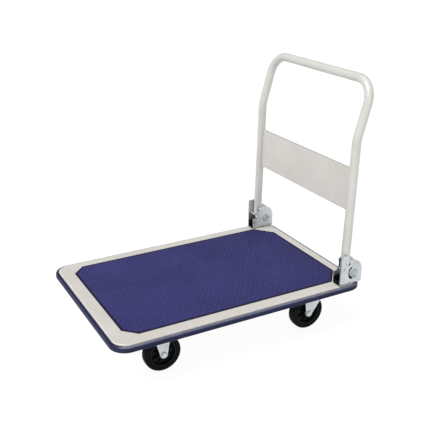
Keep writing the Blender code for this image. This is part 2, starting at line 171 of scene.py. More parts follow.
def turned(profile, at, axis="X", steps=48, closed=True):
    """A profile of (distance along the axis, radius) turned about it.

    A ring with HEX as its third item is hexagonal.
    """
    rings = []
    for t, size, *hexed in profile:
        ring = []
        for i in range(steps):
            a = 2 * pi * i / steps
            r = size / cos((a + pi / 6) % (pi / 3) - pi / 6) if hexed else size
            offset = (t, r * cos(a), r * sin(a)) if axis == "X" else (r * cos(a), r * sin(a), t)
            ring.append(at + Vector(offset))
        rings.append(ring)
    return loft(rings, closed)


def joined(*shapes):
    """Several closed shapes as one list of vertices and faces."""
    verts, faces = [], []
    for more_verts, more_faces in shapes:
        faces += [tuple(i + len(verts) for i in face) for face in more_faces]
        verts += list(more_verts)
    return verts, faces


def set_inputs(node, values):
    """Plain values for a shader node's inputs, by their names."""
    for key, value in values.items():
        node.inputs[key].default_value = value


def linked(name, data):
    """A new object in the scene."""
    obj = bpy.data.objects.new(name, data)
    bpy.context.scene.collection.objects.link(obj)
    return obj


def body_of(name, shape):
    """A mesh object with its faces turned outward."""
    verts, faces = shape
    bm = bmesh.new()
    points = [bm.verts.new(v) for v in verts]
    for face in faces:
        bm.faces.new([points[i] for i in face])
    bmesh.ops.recalc_face_normals(bm, faces=bm.faces)
    mesh = bpy.data.meshes.new(name)
    bm.to_mesh(mesh)
    bm.free()
    return linked(name, mesh)


def carve(obj, shape, operation="DIFFERENCE"):
    """An exact boolean; the cutter is deleted when the piece settles."""
    tool = body_of("cutter", shape)
    tool.hide_render = True
    mod = obj.modifiers.new("boolean", "BOOLEAN")
    mod.operation = operation
    mod.solver = "EXACT"
    mod.object = tool


def bore(obj, at, radius, axis="X", steps=24, reach=0.03):
    """A round hole that reaches equally far to both sides of a point."""
    carve(obj, turned([(-reach, radius), (reach, radius)], at, axis, steps, False))


def settle(obj, bevel=0.0, angle=38):
    """Applies the booleans, an edge bevel and weighted normals to the object's own mesh."""
    if bevel:
        mod = obj.modifiers.new("bevel", "BEVEL")
        mod.width = bevel
        mod.segments = 3
        mod.limit_method = "ANGLE"
        mod.angle_limit = radians(angle)
    evaluate(obj)
    obj.data.shade_smooth()
    obj.data.set_sharp_from_angle(angle=radians(angle))
    mod = obj.modifiers.new("normals", "WEIGHTED_NORMAL")
    mod.weight = 90
    mod.keep_sharp = True
    evaluate(obj)


def evaluate(obj):
    graph = bpy.context.evaluated_depsgraph_get()
    mesh = bpy.data.meshes.new_from_object(obj.evaluated_get(graph), depsgraph=graph)
    tools = [m.object for m in obj.modifiers if m.type == "BOOLEAN"]
    obj.modifiers.clear()
    obj.data = mesh
    for tool in tools:
        bpy.data.objects.remove(tool)


def finish_piece(obj, look, body, slot, *nodes):
    """Material, body and the CAD nodes that the piece stands for, which are hidden; the record slot is not
    used.
    """
    obj.data.materials.clear()
    obj.data.materials.append(look)
    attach(obj, body)
    if nodes:
        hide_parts(*nodes)


def smooth_piece(name, shape, look, body, slot, *nodes, angle=38):
    """A piece that needs no booleans and no bevel."""
    obj = body_of(name, shape)
    settle(obj, angle=angle)
    finish_piece(obj, look, body, slot, *nodes)


def bend_path(points, radii, steps):
    """A polyline with its inner corners rounded."""
    path = [points[0]]
    for i in range(1, len(points) - 1):
        into = (points[i] - points[i - 1]).normalized()
        away = (points[i + 1] - points[i]).normalized()
        angle = into.angle(away)
        axis = into.cross(away).normalized()
        start = points[i] - into * (radii[i - 1] * tan(angle / 2))
        hub = start + axis.cross(into) * radii[i - 1]
        for k in range(steps[i - 1] + 1):
            path.append(hub + Matrix.Rotation(angle * k / steps[i - 1], 3, axis) @ (start - hub))
    path.append(points[-1])
    return path


def tube_rings(path, radii, side, steps=32):
    """Rings square to a path; radii is one radius for each path point."""
    rings = []
    for i, point in enumerate(path):
        before = path[max(i - 1, 0)]
        after = path[min(i + 1, len(path) - 1)]
        ahead = (after - before).normalized()
        if 0 < i < len(path) - 1:
            ahead = ((point - before).normalized() + (after - point).normalized()).normalized()
        side = (side - ahead * side.dot(ahead)).normalized()
        up = ahead.cross(side)
        ring = []
        for k in range(steps):
            a = 2 * pi * k / steps
            ring.append(point + side * (radii[i] * cos(a)) + up * (radii[i] * sin(a)))
        rings.append(ring)
    return rings


def weld_bead(at, reach, radius):
    """A short bead of overlapping ripples that reaches to both sides of a point."""
    ripples = max(3, round(2 * reach.length / (radius * 1.1)))
    steps = ripples * 4
    path = [(at - reach).lerp(at + reach, i / steps) for i in range(steps + 1)]
    radii = []
    for i in range(steps + 1):
        end = min(1.0, 0.35 + 3.0 * min(i, steps - i) / steps)
        radii.append(radius * end * (0.90 + 0.10 * cos(2 * pi * i / 4)))
    side = Vector((0, 0, 1)) if abs(reach.normalized().z) < 0.9 else Vector((0, 1, 0))
    return loft(tube_rings(path, radii, side, 10))


def u_section(left, right, fold, mouth, wall, bend, inner_bend, steps=6):
    """A folded sheet's section: two walls from its open mouth to the fold."""
    inside = fold + wall if mouth > fold else fold - wall
    corners = [(left, mouth), (left, fold), (right, fold), (right, mouth), (right - wall, mouth),
               (right - wall, inside), (left + wall, inside), (left + wall, mouth)]
    return fillet(corners, [0, bend, bend, 0, 0, inner_bend, inner_bend, 0], steps)


def fastener(at, axis, out, parts, closed=False):
    """A turned bolt, pin, washer or nut; out is -1 where it points against the axis."""
    return turned([(out * t, *rest) for t, *rest in parts], at, axis, 24, closed)


def hex_head(base, tall, half):
    """Parts of a chamfered hexagon head that starts at a distance along its axis."""
    return [(base, half, HEX), (base + tall * 0.78, half, HEX), (base + tall, half * 0.93)]


def dome(base, tall, radius, stop):
    """Parts of a domed head, up to an angle in degrees."""
    return [(base + tall * sin(radians(a)), radius * cos(radians(a))) for a in range(15, stop + 1, 15)]


def thread(start, stop, radius):
    """Parts of a threaded length, as close ridges."""
    pitch, depth = 0.0011, 0.00035
    parts = []
    count = max(1, round(abs(stop - start) / pitch))
    for i in range(count + 1):
        t = start + (stop - start) * i / count
        parts.append((t, radius - depth))
        if i < count:
            parts.append((t + (stop - start) * 0.5 / count, radius))
    return parts


def washer_and_nut(at, sign, face, hole, half, start, shoulder, stop):
    """A washer and a chamfered nut under a face, measured from it, at the end of a cross bolt."""
    washer = [(-face, 0.0054), (-face, 0.0100), (-face - 0.0010, 0.0100), (-face - 0.0010, 0.0054)]
    nut = [(-face - start, hole), (-face - start, half, HEX), (-face - shoulder, half, HEX),
           (-face - stop, half - 0.0006), (-face - stop, hole)]
    return joined(*(fastener(at, "X", sign, parts, True) for parts in (washer, nut)))


# ---------------------------------------------------------------- materials

class Look:
    """A material with one Principled shader and shorthands for its nodes."""

    def __init__(self, name, specular, metallic=0.0, coat=0.0):
        self.material = bpy.data.materials.new(name)
        self.material.use_nodes = True
        self.tree = self.material.node_tree
        self.shader = self.tree.nodes["Principled BSDF"]
        set_inputs(self.shader, {"Metallic": metallic, "Specular IOR Level": specular, "Coat Weight": coat,
                                 "Coat Roughness": 0.18})
        self.place = self.tree.nodes.new("ShaderNodeTexCoord").outputs["Object"]

    def node(self, kind, inputs, **settings):
        made = self.tree.nodes.new(kind)
        for key, value in settings.items():
            setattr(made, key, value)
        for key, value in inputs.items():
            if isinstance(value, bpy.types.NodeSocket):
                self.tree.links.new(value, made.inputs[key])
            else:
                made.inputs[key].default_value = value
        return made

    def along(self, axis):
        """The place along one axis at rest, in metres."""
        return self.node("ShaderNodeSeparateXYZ", {0: self.place}).outputs[axis]

    def from_leg(self):
        """The distance from the middle plane of the nearer leg."""
        across = self.math("ABSOLUTE", self.along("X"))
        return self.math("ABSOLUTE", self.math("SUBTRACT", across, LEG_X))

    def stretched(self, x, y, z):
        """The place with each axis scaled, for grain that runs one way."""
        made = self.node("ShaderNodeVectorMath", {0: self.place, 1: (x, y, z)}, operation="MULTIPLY")
        return made.outputs[0]

    def noise(self, scale, detail=3.0, rough=0.55, where=None):
        inputs = {"Vector": where or self.place, "Scale": scale, "Detail": detail, "Roughness": rough}
        return self.node("ShaderNodeTexNoise", inputs).outputs["Fac"]

    def cells(self, scale, output="Color"):
        return self.node("ShaderNodeTexVoronoi", {"Vector": self.place, "Scale": scale}).outputs[output]

    def spread(self, value, low, high, to_low=0.0, to_high=1.0):
        inputs = {"Value": value, "From Min": low, "From Max": high, "To Min": to_low, "To Max": to_high}
        return self.node("ShaderNodeMapRange", inputs).outputs["Result"]

    def math(self, kind, a, b=0.0):
        return self.node("ShaderNodeMath", {0: a, 1: b}, operation=kind).outputs[0]

    def mix(self, amount, a, b):
        """A blend of two colours. Inputs 6 and 7 and output 2 are the node's colour sockets."""
        first, second = ((*c, 1.0) if isinstance(c, tuple) else c for c in (a, b))
        return self.node("ShaderNodeMix", {0: amount, 6: first, 7: second}, data_type="RGBA").outputs[2]

    def clouds(self, dark, pale, scale, detail=4.0, rough=0.55, low=0.35, high=0.65):
        """Soft patches of two colours."""
        return self.mix(self.spread(self.noise(scale, detail, rough), low, high), dark, pale)

    def specks(self, colour, other, scale, detail, low, high, most=1.0):
        """Small spots of another colour."""
        return self.mix(self.spread(self.noise(scale, detail), low, high, 0.0, most), colour, other)

    def uneven(self, scale, detail, low, high):
        """A roughness that wanders between two values."""
        return self.spread(self.noise(scale, detail), 0.3, 0.7, low, high)

    def bump(self, height, depth, under=None):
        inputs = {"Height": height, "Distance": depth, "Strength": 1.0}
        if under:
            inputs["Normal"] = under
        return self.node("ShaderNodeBump", inputs).outputs["Normal"]

    def finish(self, colour, rough, normal):
        self.tree.links.new(colour, self.shader.inputs["Base Color"])
        self.tree.links.new(rough, self.shader.inputs["Roughness"])
        self.tree.links.new(normal, self.shader.inputs["Normal"])
        return self.material


def cream_enamel(name, dull, clean, fold_shade_z=None):
    """Stove enamel: a soft orange peel, faint clouding, rubbed specks and hairline scuffs.

    Painted shade darkens the top of a folded edge that ends at the given height.
    """
    look = Look(name, specular=0.5, coat=0.25)
    colour = look.clouds(dull, clean, 9.0)
    colour = look.specks(colour, (0.38, 0.36, 0.32), 260.0, 2.0, 0.70, 0.78)
    scuffs = look.spread(look.noise(38.0, 6.0, 0.7, look.stretched(1.0, 0.12, 1.0)), 0.60, 0.80, 0.0, 0.5)
    colour = look.mix(scuffs, colour, (0.49, 0.465, 0.43))
    # Painted shade: a darker band along the top of the folded edge.
    if fold_shade_z is not None:
        fold_shade = look.spread(look.along("Z"), fold_shade_z - 0.0040, fold_shade_z - 0.0005)
        colour = look.mix(fold_shade, colour, (0.43, 0.415, 0.385))
    peel = look.bump(look.noise(520.0, 2.0), 0.00012)
    return look.finish(colour, look.uneven(60.0, 4.0, 0.26, 0.42), peel)


def mat_vinyl(low, high):
    """Pressed vinyl sheet: rubbed paler on the lozenges, with painted shade towards the rear left corner and
    along its edges.
    """
    look = Look("mat_vinyl", specular=0.2)
    # The colour of the painted shade towards the rear left corner and along the edges.
    shade_tint = (0.004, 0.004, 0.022)
    colour = look.clouds((0.023, 0.023, 0.110), (0.033, 0.031, 0.137), 6.0, low=0.32, high=0.68)
    rubbed = look.spread(look.along("Z"), high.z - STUD_TALL, high.z)
    patchy = look.spread(look.noise(70.0, 4.0), 0.35, 0.65, 0.25, 0.75)
    colour = look.mix(look.math("MULTIPLY", rubbed, patchy), colour, (0.041, 0.040, 0.170))
    x, y = look.math("ABSOLUTE", look.along("X")), look.along("Y")
    # Painted shade: darker towards the rear left corner.
    rear_left_shade = look.math("SUBTRACT", y, look.math("MULTIPLY", look.along("X"), 0.6))
    colour = look.mix(look.spread(rear_left_shade, 0.03, 0.38, 0.0, 0.22), colour, shade_tint)
    sides = look.math("SUBTRACT", x, high.x)
    ends = look.math("MAXIMUM", look.math("SUBTRACT", y, high.y), look.math("SUBTRACT", low.y, y))
    front = look.math("SUBTRACT", look.math("SUBTRACT", x, y), high.x - low.y - FRONT_CUT)
    front = look.math("MULTIPLY", front, 0.707)
    slope = REAR_CUT_X / REAR_CUT_Y
    rear = look.math("ADD", x, look.math("MULTIPLY", y, slope))
    rear = look.math("SUBTRACT", rear, high.x + (high.y - REAR_CUT_Y) * slope)
    rear = look.math("MULTIPLY", rear, 1.0 / (1.0 + slope * slope) ** 0.5)
    edge = look.math("MAXIMUM", look.math("MAXIMUM", sides, ends), look.math("MAXIMUM", front, rear))
    # Painted shade in a band along the sheet's edges, where it meets the rim.
    colour = look.mix(look.spread(edge, -0.0095, -0.0050), colour, shade_tint)
    grain = look.bump(look.noise(1100.0, 3.0), 0.00008)
    return look.finish(colour, look.uneven(180.0, 3.0, 0.42, 0.60), grain)


def bumper_rubber(shelf_z):
    """Extruded rubber with a faint bloom, a fine grain and a painted highlight on the right side's upper
    shoulder.
    """
    look = Look("bumper_rubber", specular=0.22)
    colour = look.clouds((0.006, 0.009, 0.042), (0.014, 0.020, 0.068), 22.0, 5.0, 0.65, 0.35, 0.70)
    colour = look.specks(colour, (0.045, 0.052, 0.105), 240.0, 3.0, 0.62, 0.78, 0.4)
    # Painted highlight: a pale band on the upper shoulder, on the right side only.
    shoulder = look.spread(look.along("Z"), shelf_z - 0.0048, shelf_z - 0.0010)
    right_side = look.spread(look.along("X"), RIM_X - 0.012, RIM_X - 0.001)
    shoulder_highlight = look.math("MULTIPLY", shoulder, right_side)
    patchy = look.spread(look.noise(60.0, 4.0), 0.30, 0.70, 0.65, 1.0)
    colour = look.mix(look.math("MULTIPLY", shoulder_highlight, patchy), colour, (0.165, 0.172, 0.225))
    grain = look.bump(look.noise(800.0, 3.0), 0.0001)
    return look.finish(colour, look.uneven(45.0, 4.0, 0.42, 0.62), grain)


def zinc_plate(name, inside_shaded=False):
    """Bright zinc plating: crystal spangle, a blue passivated tint and fine draw lines.

    The brackets' variant has nearly black painted shade low in the fold and on the inner ear ahead of the
    leg.
    """
    look = Look(name, specular=0.5, metallic=0.82)
    spangle = look.cells(150.0)
    colour = look.clouds((0.40, 0.44, 0.46), (0.57, 0.59, 0.59), 30.0)
    colour = look.mix(look.spread(spangle, 0.0, 1.0, 0.0, 0.60), colour, (0.70, 0.73, 0.75))
    if inside_shaded:
        pivot_y = centre("pivot_bolt_right").y
        inside = look.spread(look.from_leg(), EAR_HALF - 0.0022, EAR_HALF - 0.0010, 1.0, 0.0)
        foot = look.spread(look.along("Z"), DECK_TOP + 0.026, DECK_TOP + 0.030, 1.0, 0.0)
        across = look.math("ABSOLUTE", look.along("X"))
        inner_ear = look.spread(across, LEG_X - 0.012, LEG_X - 0.008, 1.0, 0.0)
        above = look.spread(look.along("Z"), DECK_TOP + 0.042, DECK_TOP + 0.046)
        inner_ear = look.math("MULTIPLY", inner_ear, above)
        ahead = look.spread(look.along("Y"), pivot_y - 0.004, pivot_y + 0.002, 1.0, 0.0)
        inner_ear = look.math("MULTIPLY", inner_ear, ahead)
        # Painted shade, nearly black, low in the fold and on the inner ear, where the bracket's inside lies
        # in shade.
        shade_mask = look.math("MULTIPLY", inside, look.math("MAXIMUM", foot, inner_ear))
        patchy = look.spread(look.noise(90.0, 4.0), 0.30, 0.60, 0.80, 1.0)
        colour = look.mix(look.math("MULTIPLY", shade_mask, patchy), colour, (0.014, 0.016, 0.028))
    drawn = look.noise(420.0, 3.0, 0.6, look.stretched(1.0, 1.0, 0.08))
    rough = look.spread(look.math("ADD", spangle, drawn), 0.4, 1.6, 0.24, 0.46)
    normal = look.bump(drawn, 0.00006, look.bump(look.cells(150.0, "Distance"), 0.00030))
    return look.finish(colour, rough, normal)


def frame_paint():
    """Grey primer on the hidden frame, with a coarse spray texture."""
    look = Look("frame_paint", specular=0.45)
    colour = look.clouds((0.30, 0.30, 0.29), (0.38, 0.38, 0.36), 12.0)
    colour = look.specks(colour, (0.22, 0.21, 0.20), 160.0, 3.0, 0.62, 0.75, 0.7)
    return look.finish(colour, look.uneven(90.0, 3.0, 0.45, 0.62), look.bump(look.noise(420.0, 3.0), 0.00018))


def weld_steel():
    """Painted-over weld beads: the enamel lies thin and slightly browned."""
    look = Look("weld_enamel", specular=0.5)
    colour = look.clouds((0.40, 0.385, 0.35), (0.50, 0.49, 0.455), 140.0, 3.0)
    return look.finish(colour, look.uneven(260.0, 3.0, 0.35, 0.5), look.bump(look.noise(700.0, 3.0), 0.0002))


def tyre_rubber():
    """Solid black rubber, greyer where dust sits."""
    look = Look("tyre_rubber", specular=0.07)
    colour = look.clouds((0.0018, 0.0020, 0.0028), (0.0045, 0.0048, 0.0062), 55.0, 5.0, 0.65, 0.40, 0.72)
    colour = look.specks(colour, (0.016, 0.017, 0.020), 420.0, 2.0, 0.66, 0.76, 0.5)
    grain = look.bump(look.noise(900.0, 3.0), 0.00014)
    return look.finish(colour, look.uneven(120.0, 4.0, 0.45, 0.68), grain)


def hub_nylon():
    """Moulded nylon with a fine spark-eroded grain."""
    look = Look("hub_nylon", specular=0.10)
    colour = look.clouds((0.0022, 0.0025, 0.0034), (0.0050, 0.0054, 0.0068), 40.0)
    grain = look.bump(look.cells(1400.0, "Distance"), 0.00008)
    return look.finish(colour, look.uneven(200.0, 3.0, 0.32, 0.50), grain)


def latch_steel():
    """Oiled steel of the latches and sleeves, with nearly black painted shade between a bracket's ears, so a
    latch is dark between its bright ends.
    """
    look = Look("latch_steel", specular=0.5, metallic=0.8)
    colour = look.clouds((0.33, 0.35, 0.37), (0.47, 0.49, 0.51), 80.0)
    # Painted shade: nearly black between a bracket's ears, on the latch's middle and on the bracket bolts.
    shade_between_ears = look.spread(look.from_leg(), EAR_HALF - 0.0032, EAR_HALF - 0.0018, 1.0, 0.0)
    colour = look.mix(shade_between_ears, colour, (0.020, 0.021, 0.024))
    drawn = look.noise(500.0, 3.0, 0.6, look.stretched(0.1, 1.0, 1.0))
    return look.finish(colour, look.spread(drawn, 0.3, 0.7, 0.30, 0.48), look.bump(drawn, 0.00006))


# ---------------------------------------------------------------- deck

def build_pan(paint):
    """The pressed tray: flat top, rolled edge, skirt, turned-in lip and its inner faces."""
    tall = DECK_TOP - PAN_LOW.z
    hem = 0.0018
    flat = 0.060
    outer = [(flat, 0.0)]
    outer += [(ROLL_R - p, ROLL_R - q) for p, q in arc(0, 0, ROLL_R, 90, 0, 7)]
    outer += [(0.0, tall - hem)]
    outer += [(hem - p, tall - hem - q) for p, q in arc(0, 0, hem, 0, -90, 4)]
    inside = ROLL_R - SHEET
    inner = [(LIP, tall), (LIP, tall - SHEET), (SHEET + hem, tall - SHEET), (SHEET, tall - SHEET - hem)]
    inner += [(SHEET + inside - p, ROLL_R - q) for p, q in arc(0, 0, inside, 0, 90, 5)]
    inner += [(flat, SHEET)]
    rings = []
    for inset, drop in outer + inner:
        outline = round_rect(RIM_X - inset, RIM_Y - inset, max(CORNER_R - inset, 0.004))
        rings.append([Vector((x, y + MIDDLE_Y, DECK_TOP - drop)) for x, y in outline])
    pan = body_of("deck_pan_sheet", loft(rings))
    for side, _ in SIDES:
        for end in ("front", "rear"):
            spot = centre(f"bracket_bolt_{side}_{end}")
            bore(pan, Vector((spot.x, spot.y, DECK_TOP)), BOLT_HOLE_R, "Z", 16, 0.02)
    settle(pan)
    finish_piece(pan, paint, "deck", "cream_paint", "deck_pan")


# A lozenge of the mat: its height, and its outline in shares of its half length and half width
STUD_TALL = 0.0009
STUD_RING = ((1.0, 0.0), (0.50, 0.62), (0.0, 1.0), (-0.50, 0.62), (-1.0, 0.0), (-0.50, -0.62), (0.0, -1.0),
             (0.50, -0.62))


def stud_sheet(low, high):
    """Vertices and faces of raised lozenges that lean left and right in turn, with no rim or underside."""
    pitch_x, pitch_y = 0.0139, 0.0103
    count_x = round((high.x - low.x) / pitch_x)
    count_y = round((high.y - low.y) / pitch_y)
    pitch_x = (high.x - low.x) / count_x
    pitch_y = (high.y - low.y) / count_y
    base = high.z - STUD_TALL
    verts, faces, shared = [], [], {}

    def corner(i, j):
        if (i, j) not in shared:
            shared[(i, j)] = len(verts)
            verts.append((low.x + i * pitch_x / 2, low.y + j * pitch_y / 2, base))
        return shared[(i, j)]

    around = ((1, 0), (1, 1), (0, 1), (-1, 1), (-1, 0), (-1, -1), (0, -1), (1, -1))
    lean = atan(pitch_y / pitch_x)
    half_long, half_short = 0.0062, 0.0020
    rings = ((1.0, 1.0, 0.0), (0.92, 0.74, 0.72), (0.74, 0.34, 1.0))
    for i in range(count_x):
        for j in range(count_y):
            tilt = lean if (i + j) % 2 == 0 else -lean
            start = 1 if tilt > 0 else 7
            x, y = low.x + (i + 0.5) * pitch_x, low.y + (j + 0.5) * pitch_y
            steps = [around[(k + start) % 8] for k in range(8)]
            before = [corner(2 * i + 1 + p, 2 * j + 1 + q) for p, q in steps]
            for wide, thin, up in rings:
                ring = []
                for p, q in STUD_RING:
                    a, b = p * wide * half_long, q * thin * half_short
                    ring.append(len(verts))
                    verts.append((x + a * cos(tilt) - b * sin(tilt), y + a * sin(tilt) + b * cos(tilt),
                                  base + up * STUD_TALL))
                for k in range(8):
                    n = (k + 1) % 8
                    faces.append((before[k], before[n], ring[n], ring[k]))
                before = ring
            faces.append(tuple(before))
    return verts, faces


def build_mat(look):
    """The pressed sheet: its lozenges, cut off at the corners, with a rim and an underside."""
    low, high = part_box("deck_mat")
    verts, faces = stud_sheet(low, high)
    mesh = bpy.data.meshes.new("deck_mat_sheet")
    mesh.from_pydata(verts, [], faces)
    bm = bmesh.new()
    bm.from_mesh(mesh)
    base = high.z - STUD_TALL
    cuts = ((-1, low.y, FRONT_CUT, FRONT_CUT), (1, high.y, REAR_CUT_X, REAR_CUT_Y))
    for sy, edge_y, size_x, size_y in cuts:
        for sx, edge_x in ((1, high.x), (-1, low.x)):
            across = Vector((sx / size_x, sy / size_y, 0)).normalized()
            bmesh.ops.bisect_plane(bm, geom=bm.verts[:] + bm.edges[:] + bm.faces[:], dist=1e-6,
                                   plane_co=(edge_x, edge_y - sy * size_y, base), plane_no=across,
                                   clear_outer=True)
    rim = [e for e in bm.edges if e.is_boundary]
    grown = bmesh.ops.extrude_edge_only(bm, edges=rim)["geom"]
    for vert in (g for g in grown if isinstance(g, bmesh.types.BMVert)):
        vert.co.z = low.z
    bmesh.ops.holes_fill(bm, edges=[e for e in bm.edges if e.is_boundary], sides=0)
    bmesh.ops.recalc_face_normals(bm, faces=bm.faces)
    bm.to_mesh(mesh)
    bm.free()
    obj = linked("deck_mat_sheet", mesh)
    mesh.shade_smooth()
    mesh.set_sharp_from_angle(angle=radians(55))
    finish_piece(obj, look, "deck", "mat_vinyl", "deck_mat")


def build_bumper(look):
    """The extruded edge strip: a rounded back with two grooves, its ends meeting at a seam."""
    low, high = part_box("edge_bumper")
    out = high.x - RIM_X
    top = (high.z - low.z) / 2
    mid = (high.z + low.z) / 2
    nose, shoulder, shoulder_tall, inner = 0.0045, 0.0046, 0.0065, 0.0003
    profile = [(inner, top), (out - shoulder, top)]
    for a in range(18, 91, 18):
        profile.append((out - shoulder + shoulder * sin(radians(a)),
                        top - shoulder_tall + shoulder_tall * cos(radians(a))))
    for groove in (-0.0005, -0.0045):
        profile += [(out, groove + 0.0011), (out - 0.0009, groove + 0.0004), (out - 0.0009, groove - 0.0004),
                    (out, groove - 0.0011)]
    profile += [(out - nose + p, nose - top + q) for p, q in arc(0, 0, nose, -15, -80, 5)]
    profile += [(out - nose, -top), (inner, -top)]
    sections = []
    for away, up in profile:
        outline = round_rect(RIM_X + away, RIM_Y + away, CORNER_R + away)
        sections.append([Vector((x, y + MIDDLE_Y, mid + up)) for x, y in outline])
    around = len(sections[0])
    split = around // 4
    rings = [[section[(split + k) % around] for section in sections] for k in range(around)]
    seam = 0.0004
    first = [Vector((-seam, p.y, p.z)) for p in rings[0]]
    last = [Vector((seam, p.y, p.z)) for p in rings[-1]]
    shape = loft([first] + rings + [last])
    smooth_piece("edge_bumper_strip", shape, look, "deck", "bumper_rubber", "edge_bumper")


def build_member(node, along, holes, hole_r, welds, look, weld):
    """A hat channel along X (0) or Y (1) with holes in its floor, and beads where it meets the tray."""
    low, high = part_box(node)
    side = 1 - along
    middle = (low[side] + high[side]) / 2

    def spot(t, across, z):
        return Vector((across, t, z) if along else (t, across, z))

    section = u_section(low[side], high[side], low.z, high.z, SHEET, 0.004, 0.004 - SHEET, 5)
    obj = body_of(node + "_section", prism(section, "XY"[along], low[along], high[along]))
    for t in holes:
        bore(obj, spot(t, middle, low.z), hole_r, "Z", 32, 0.01)
    settle(obj, 0.0004)
    finish_piece(obj, look, "deck", "frame_steel", node)
    reach = spot(0.016, 0, 0)
    beads = [weld_bead(spot(t, across, high.z - 0.0012), reach, 0.0026)
             for t in welds for across in (low[side] - 0.0008, high[side] + 0.0008)]
    smooth_piece(node + "_welds", joined(*beads), weld, "deck", "frame_steel")


def build_frame(look, weld):
    for node in ("front_channel", "rear_channel"):
        build_member(node, 0, (-0.075, 0.0, 0.075), 0.011, [0.08 * k for k in range(-3, 4)], look, weld)
    for node in ("stiffener_left", "stiffener_right"):
        low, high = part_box(node)
        long = high.y - low.y
        holes, welds = ([low.y + (k + 0.5) * long / count for k in range(count)] for count in (5, 4))
        build_member(node, 1, holes, 0.009, welds, look, weld)


# ---------------------------------------------------------------- handle

def build_handle(look):
    """The bent tube: two legs, a kink, the slanted grip and the hinge holes."""
    foot_y = KINK_Y - (KINK_Z - TUBE_LOW.z) * tan(LEAN)
    foot_z = TUBE_LOW.z + TUBE_R * sin(LEAN)
    corners = [Vector((-LEG_X, y, z)) for y, z in ((foot_y, foot_z), (KINK_Y, KINK_Z), (TOP_Y, TOP_Z))]
    corners += [Vector((LEG_X, p.y, p.z)) for p in reversed(corners)]
    path = bend_path(corners, [KINK_R, TOP_R, TOP_R, KINK_R], [8, 20, 20, 8])
    outer, inner = (tube_rings(path, [radius] * len(path), Vector((0, 1, 0)), 40)
                    for radius in (TUBE_R, TUBE_R - TUBE_WALL))
    handle = body_of("handle_bent_tube", loft(outer + inner[::-1], True))
    for side, sign in SIDES:
        pivot = centre(f"pivot_bolt_{side}")
        bore(handle, Vector((sign * LEG_X, pivot.y, pivot.z)), PIVOT_HOLE_R, reach=0.02)
    settle(handle)
    finish_piece(handle, look, "handle", "cream_paint", "handle_tube")


def build_panel(look, weld):
    """The sheet between the legs, folded back at its top and bottom, and its weld beads."""
    low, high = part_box("handle_panel")
    slope = tan(LEAN) * (high.z - low.z)
    front, front_top = low.y, low.y + slope
    back = high.y - slope
    corners = [(front, low.z), (back, low.z), (back, low.z + SHEET), (front + SHEET, low.z + SHEET),
               (front_top + SHEET, high.z - SHEET), (high.y, high.z - SHEET), (high.y, high.z),
               (front_top, high.z)]
    bend, inner_bend, edge = 0.0045, 0.0025, 0.0009
    outline = fillet(corners, [bend, edge, edge, inner_bend, inner_bend, edge, edge, bend])
    shape = prism(outline, "X", low.x, high.x)
    smooth_piece("handle_sheet_panel", shape, look, "handle", "cream_paint", "handle_panel")
    beads = []
    for sign in (-1, 1):
        for share in (0.10, 0.38, 0.66, 0.90):
            y = front + share * slope + 0.0004
            z = low.z + share * (high.z - low.z)
            at = Vector((sign * (high.x - 0.0004), y, z))
            beads.append(weld_bead(at, Vector((0, 0, 0.008)), 0.0021))
    smooth_piece("handle_panel_welds", joined(*beads), weld, "handle", "cream_paint")


# ---------------------------------------------------------------- brackets

def ear_outline(low, high):
    """The ear from the side: a tall front strip, then a lower lobe rounded about the latch."""
    lobe = 0.0415
    hub_y = high.y - lobe
    hub_z = low.z + 0.0465
    front = [(low.y, low.z), (low.y, high.z), (low.y + 0.0285, high.z), (low.y + 0.0345, high.z - 0.020)]
    rounded = fillet(front + [(hub_y, hub_z + lobe)], [0, 0.005, 0.006, 0.010, 0], 5)[:-1]
    return rounded + arc(hub_y, hub_z, lobe, 88, 0, 18) + [(high.y, low.z)]


def inner_trim(low):
    """What the ear nearer the middle lacks: only its foot comes as far forward as the outer ear."""
    front, back, top = -0.014, 0.071, 0.120
    corners = [(front, 0.043), (0.010, 0.043), (0.0205, 0.052), (0.0205, 0.084), (0.026, 0.0895),
               (back, 0.0895), (back, top), (front, top)]
    radii = [0, 0.003, 0.004, 0.003, 0.003, 0, 0, 0]
    return fillet([(low.y + p, DECK_TOP + q) for p, q in corners], radii, 4)


def crescent(hub, middle, half, start, stop, steps=14):
    """A slot that follows an arc, round at both ends; the hub is a (y, z) pair."""
    outer = arc(hub[0], hub[1], middle + half, start, stop, steps)
    inner = arc(hub[0], hub[1], middle - half, stop, start, steps)
    far = Vector(outer[-1]).lerp(Vector(inner[0]), 0.5)
    near = Vector(inner[-1]).lerp(Vector(outer[0]), 0.5)
    far_cap = arc(far.x, far.y, half, stop, stop + 180, 6)[1:-1]
    near_cap = arc(near.x, near.y, half, start + 180, start + 360, 6)[1:-1]
    return outer + far_cap + inner + near_cap


